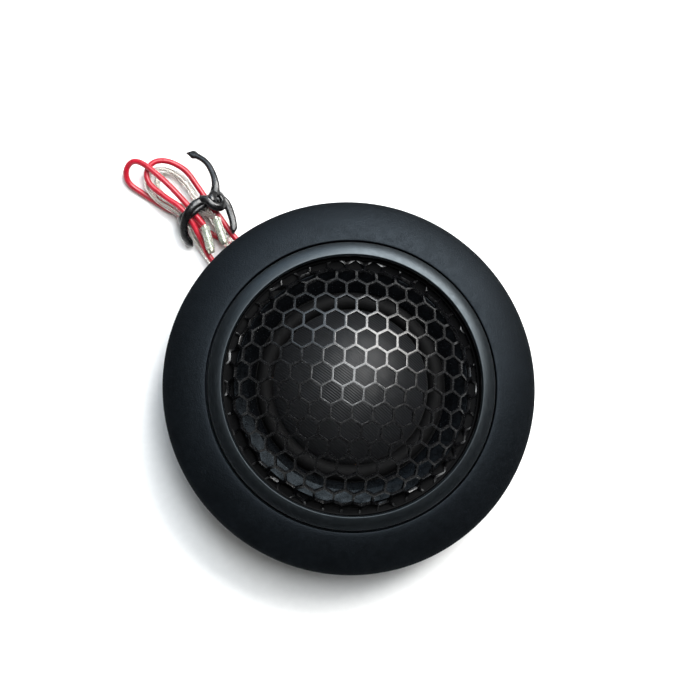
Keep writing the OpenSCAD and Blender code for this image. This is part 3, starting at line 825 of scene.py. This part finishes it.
def make_bezel():
    """The bezel: a convex satin band from the groove to a narrow lip, over a dull plate for the screws."""
    lip, wall = 0.3, 0.3
    tilt_out, tilt_in = 31, 8
    rise = math.sin(math.radians(tilt_out)) - math.sin(math.radians(tilt_in))
    curve_r = (BEZEL_R - OPENING_R - lip) / rise
    crest = CREST_Z - 0.2
    centre = (OPENING_R + lip - curve_r * math.sin(math.radians(tilt_in)),
              crest - curve_r * math.cos(math.radians(tilt_in)))
    curve = [(p.x, p.y, 0.0) for p in arc(centre, curve_r, 90 - tilt_out, 90 - tilt_in, 14)]
    curve[0] = (*curve[0][:2], 0.3)
    curve[-1] = (*curve[-1][:2], 0.1)
    wall_r, wall_z = OPENING_R + wall, crest - 2 * lip
    outline = rounded([(wall_r, PLATE_Z, 0.1), (BODY_R, PLATE_Z, 0.1), (BODY_R, RIM_Z, 0.05),
                       (BEZEL_R, RIM_Z, 0.12), *curve, (OPENING_R, crest - lip, 0.1),
                       (OPENING_R, wall_z, 0), (wall_r, wall_z, 0)], 4)
    piece("bezel_shell", lathe("bezel_shell", outline, 240, sharp=28), "bezel_plastic",
          stands_for=("front_bezel",))
    outline = rounded([(PLATE_IN_R, PLATE_Z, 0.1), (wall_r, PLATE_Z, 0), (wall_r, wall_z, 0),
                       (OPENING_R + 0.01, wall_z, 0), (OPENING_R + 0.01, PLATE_TOP_Z, 0.2),
                       (PLATE_IN_R, PLATE_TOP_Z, 0.1)], 4)
    plate = piece("bezel_plate", lathe("bezel_plate", outline, 192, sharp=28), "matte_black",
                  stands_for=("front_bezel",))
    hole_top = PLATE_Z + 0.9
    holes = []
    for angle in LUG_ANGLES:
        hole = lathe("hole", [(0, PLATE_Z - 1), (0.97, PLATE_Z - 1), (0.97, hole_top), (0, hole_top)], 32)
        a = math.radians(angle)
        hole.transform(Matrix.Translation(mm(SCREW_RING_R * math.cos(a), SCREW_RING_R * math.sin(a), 0)))
        holes.append(hole)
    cut(plate, holes)


def make_waveguide():
    """The glossy ring round the dome: a steep throat that opens into a shallower cone."""
    throat, outer, base, top = 15.9, GUIDE_HIGH.x, GUIDE_LOW.z, GUIDE_HIGH.z + 0.35
    seat_z, inner_r = PLATE_TOP_Z + 0.01, PLATE_IN_R - 0.1
    outline = rounded([(throat, base, 0.06), (throat, base + 0.4, 0.2), (17.2, seat_z + 0.06, 0.3),
                       (outer - 0.1, top, 0.08), (outer, top - 0.1, 0.05),
                       (outer, seat_z, 0), (inner_r, seat_z, 0), (inner_r, base, 0.05)], 4)
    piece("waveguide_horn", lathe("waveguide_horn", outline, 192, sharp=28), "gloss_black",
          stands_for=("waveguide_ring",))


def make_retainer():
    """The retainer over the mesh's rim, dull black in the shade of the lip."""
    low, high = box_mm("grille_retainer")
    inner = high.x - 0.3
    outline = rounded(((inner, low.z, 0.05), (high.x, low.z, 0.05), (high.x, high.z, 0.1),
                       (inner, high.z - 0.15, 0.1)), 4)
    ring = piece("retainer_ring", lathe("retainer_ring", outline, 192), "matte_black",
                 stands_for=("grille_retainer",))


def make_surround():
    """The half roll: cloth of even thickness with a flat seat outside it."""
    base, thick = ROLL_LOW.z, 0.15
    inner, outer = DOME_R + 0.04, ROLL_HIGH.x
    radius = 1.4
    seat = base + thick
    section = arc((inner + radius, seat), radius, 180, 0, 20)
    section += [Vector((outer, seat)), Vector((outer, base)), Vector((inner + 2 * radius - thick, base))]
    section += arc((inner + radius, seat), radius - thick, 0, 180, 20)
    piece("surround_roll", lathe("surround_roll", section, 192, sharp=50), "surround_cloth",
          stands_for=("surround",))


def make_dome():
    """The silk dome, a shallow cap whose foot turns down onto the coil former."""
    height = DOME_TOP_Z - DOME_Z
    curve_r = (DOME_R ** 2 + height ** 2) / (2 * height)
    centre = (0, DOME_TOP_Z - curve_r)
    foot = math.degrees(math.acos(DOME_R / curve_r))
    inner_foot = math.degrees(math.asin((DOME_Z - centre[1]) / (curve_r - 0.25)))
    section = arc(centre, curve_r, foot, 90, 28)
    section[0] = Vector((DOME_R + 0.035, DOME_Z))
    section += arc(centre, curve_r - 0.25, 90, inner_foot, 28)
    section += [Vector((12.77, DOME_Z - 0.25)), Vector((DOME_R + 0.035, DOME_Z - 0.25))]
    piece("dome_silk", lathe("dome_silk", section, 160, sharp=50), "silk", "diaphragm", ("silk_dome",))


def make_coil():
    """The winding's turns, side by side on the former."""
    low, high, inner, outer = WINDING_LOW.z, WINDING_HIGH.z, 12.76, WINDING_HIGH.x
    turns = 14
    pitch = (high - low) / turns
    section = [Vector((inner, high)), Vector((inner, low))]
    for k in range(turns):
        section += arc((outer - pitch / 2, low + (k + 0.5) * pitch), pitch / 2, -70, 70, 4)
    piece("winding_turns", lathe("winding_turns", section, 128), "copper_wire", "diaphragm",
          ("coil_winding",))


def make_pad():
    low, high, outer = PAD_LOW.z, PAD_HIGH.z, PAD_HIGH.x
    outline = rounded(((0, low, 0), (outer, low, 0.1), (outer, high, 0.45), (0, high, 0)), 5)
    pad = lathe("damping_felt", outline, 96, sharp=60)
    for vertex in pad.vertices:
        if vertex.co.z > (high - 0.6) * MM:
            vertex.co.z -= random.uniform(0, 0.04) * MM
    piece("damping_felt", pad, "felt", stands_for=("damping_pad",))


# ---------------------------------------------------------------- grille

PITCH = 3.5
HOLE = 3.1
MESH_T = 0.5
MESH_TURN = math.radians(-3.3)
CELL_AT = Vector((-0.7, -2.0))
CROWN_R = 34.0
CROWN_A = math.radians(31)
SHOULDER_R = 6.0
SHOULDER_A = math.radians(75)
FILLET_R = 0.4
CROWN_S = CROWN_R * CROWN_A
SHOULDER_S = CROWN_S + SHOULDER_R * (SHOULDER_A - CROWN_A)
FILLET_S = SHOULDER_S + FILLET_R * SHOULDER_A


def dome_profile(s, depth=0.0):
    """The grille's (radius, z) at arc length s from its middle, depth under its outer face."""
    knee = Vector(((CROWN_R - SHOULDER_R) * math.sin(CROWN_A),
                   MESH_TOP_Z - CROWN_R + (CROWN_R - SHOULDER_R) * math.cos(CROWN_A)))
    if s <= CROWN_S:
        a = s / CROWN_R
        return Vector((0, MESH_TOP_Z - CROWN_R)) + (CROWN_R - depth) * Vector((math.sin(a), math.cos(a)))
    a = CROWN_A + (min(s, SHOULDER_S) - CROWN_S) / SHOULDER_R
    down = Vector((math.sin(a), math.cos(a)))
    if s <= SHOULDER_S:
        return knee + (SHOULDER_R - depth) * down
    heel = knee + (SHOULDER_R + FILLET_R) * down
    a = SHOULDER_A - (min(s, FILLET_S) - SHOULDER_S) / FILLET_R
    place = heel - (FILLET_R + depth) * Vector((math.sin(a), math.cos(a)))
    return Vector((place.x + max(0, s - FILLET_S), max(place.y, MESH_RIM_Z)))


def on_dome(flat, depth):
    """A point of the flat sheet, drawn over the dome."""
    s = flat.length
    radius, z = dome_profile(s, depth)
    out = flat / s if s > 1e-6 else Vector((1, 0))
    return mm(out.x * radius, out.y * radius, z)


def hexagon(centre, flats):
    """A pointed-top hexagon's corners and the middles of its sides."""
    corners = []
    for k in range(6):
        a = math.radians(60 * k + 30)
        corners.append(centre + Vector((math.cos(a), math.sin(a))) * flats / math.sqrt(3))
    ring = []
    for here, there in zip(corners, corners[1:] + corners[:1]):
        ring += [here, (here + there) / 2]
    return ring


def make_grille():
    """The perforated sheet: a frame round every hole, drawn over the dome and out under the lip."""
    limit = FILLET_S + 0.6
    turn = Matrix.Rotation(MESH_TURN, 2)
    sheet = bmesh.new()
    count = math.ceil(limit / PITCH) + 2
    row_step = PITCH * math.sqrt(3) / 2
    for j in range(-count - 1, count + 2):
        for i in range(-count - 1, count + 2):
            centre = Vector(((i + 0.5 * (j % 2)) * PITCH, j * row_step)) + CELL_AT
            if centre.length > limit + PITCH * 0.6:
                continue
            outer = hexagon(centre, PITCH)
            inner = hexagon(centre, HOLE)
            corners = []
            for flat in outer + inner:
                flat = turn @ (flat - CELL_AT) + CELL_AT
                if flat.length > limit:
                    flat = flat.normalized() * limit
                corners.append(sheet.verts.new((flat.x, flat.y, 0)))
            for k in range(12):
                n = (k + 1) % 12
                sheet.faces.new((corners[k], corners[n], corners[12 + n], corners[12 + k]))
    bmesh.ops.remove_doubles(sheet, verts=sheet.verts, dist=0.02)
    bmesh.ops.dissolve_degenerate(sheet, edges=sheet.edges, dist=0.02)
    thin = [f for f in sheet.faces if f.calc_area() < 0.004]
    bmesh.ops.delete(sheet, geom=thin, context="FACES")
    bmesh.ops.delete(sheet, geom=[v for v in sheet.verts if not v.link_faces], context="VERTS")
    sheet.verts.ensure_lookup_table()
    sheet.verts.index_update()
    flats = [v.co.xy for v in sheet.verts]
    top = [on_dome(p, 0) for p in flats]
    under = [on_dome(p, MESH_T) for p in flats]
    n = len(flats)
    faces = [tuple(v.index for v in f.verts) for f in sheet.faces]
    walls = []
    for edge in sheet.edges:
        if len(edge.link_faces) == 1:
            a, b = (v.index for v in edge.verts)
            walls.append((a, b, b + n, a + n))
    sheet.free()
    back = [tuple(i + n for i in reversed(face)) for face in faces]
    mesh = make_mesh("grille_hex_sheet", top + under, faces + back + walls, sharp=40)
    grille = piece("grille_hex_sheet", mesh, "mesh_paint", stands_for=("grille_mesh",))
    # The overlap clamp leaves this bevel about 0.002 mm wide, so the webs stay square
    soften = grille.modifiers.new("soften", "BEVEL")
    soften.width = 0.13 * MM
    soften.segments = 3
    soften.limit_method = "ANGLE"
    soften.angle_limit = math.radians(40)
    settle(grille, 50)
    inner, rim_top = dome_profile(limit).x - 0.1, dome_profile(limit).y + 0.01
    outline = rounded(((inner, MESH_RIM_Z, 0), (MESH_RIM_R, MESH_RIM_Z, 0.04),
                       (MESH_RIM_R, rim_top, 0.08), (inner, rim_top, 0.04)), 3)
    piece("grille_rim", lathe("grille_rim", outline, 192), "mesh_paint", stands_for=("grille_mesh",))


# ---------------------------------------------------------------- CAD nodes that stay


CAD_FINISHES = {
    "coil_former": ("former_film", 0),
    "diaphragm_ring": ("housing_plastic", 0.1), "pole_plate": ("plated_steel", 0.15),
    "magnet": ("magnet_nickel", 0.25), "yoke_cup": ("plated_steel", 0.12),
    "rear_housing": ("housing_plastic", 0.1), "housing_screws": ("black_screw", 0.07),
    "terminal_board": ("phenolic", 0.06), "terminal_positive": ("tinned_brass", 0.05),
    "terminal_negative": ("tinned_brass", 0.05), "terminal_rivets": ("tinned_brass", 0.08),
    "coil_leadout_positive": ("copper_wire", 0), "coil_leadout_negative": ("copper_wire", 0),
    "lead_grommet": ("black_rubber", 0.15)}


def finish_cad():
    """Materials, closed seams and a bevel on the CAD nodes that stay in view."""
    for name, (slot, width) in CAD_FINISHES.items():
        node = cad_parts[name]
        node.data.materials.clear()
        node.data.materials.append(MATERIALS[slot])
        node.data.polygons.foreach_set("use_smooth", [True] * len(node.data.polygons))
        weld = node.modifiers.new("weld", "WELD")
        weld.merge_threshold = 0.003 * MM
        if width:
            # The overlap clamp leaves about a fifth of this or less on the pole plate, magnet, yoke,
            # housing screws, rivets and grommet
            soften = node.modifiers.new("soften", "BEVEL")
            soften.width = width * MM
            soften.segments = 2
            soften.limit_method = "ANGLE"
            soften.angle_limit = math.radians(35)
        shade = node.modifiers.new("shade", "WEIGHTED_NORMAL")
        shade.weight = 80
        shade.keep_sharp = True


# ---------------------------------------------------------------- the scene


def make_floor():
    """A pale paper sweep: flat under the object, curving up far from it."""
    flat_r, curve_r, top_z = 1300, 500, 1400
    section = [Vector((0, -0.02)), *arc((flat_r, curve_r - 0.02), curve_r, -90, 0, 16)]
    section.append(Vector((flat_r + curve_r, top_z)))
    turns = 72
    points = [mm(0, 0, section[0].y)]
    for k in range(turns):
        a = 2 * math.pi * k / turns
        points += [mm(p.x * math.cos(a), p.x * math.sin(a), p.y) for p in section[1:]]
    n = len(section) - 1
    faces = []
    for k in range(turns):
        here, there = 1 + k * n, 1 + (k + 1) % turns * n
        faces.append((0, here, there))
        faces += [(here + i, here + i + 1, there + i + 1, there + i) for i in range(n - 1)]
    floor = bpy.data.objects.new("floor", make_mesh("floor", points, faces, sharp=80))
    floor.data.materials.append(MATERIALS["floor_paper"])
    bpy.context.scene.collection.objects.link(floor)


make_camera()
make_leads()
make_floor()
make_light()
make_mounting_ring()
make_bezel()
make_waveguide()
make_retainer()
make_surround()
make_dome()
make_coil()
make_pad()
make_grille()
finish_cad()

bpy.context.view_layer.update()
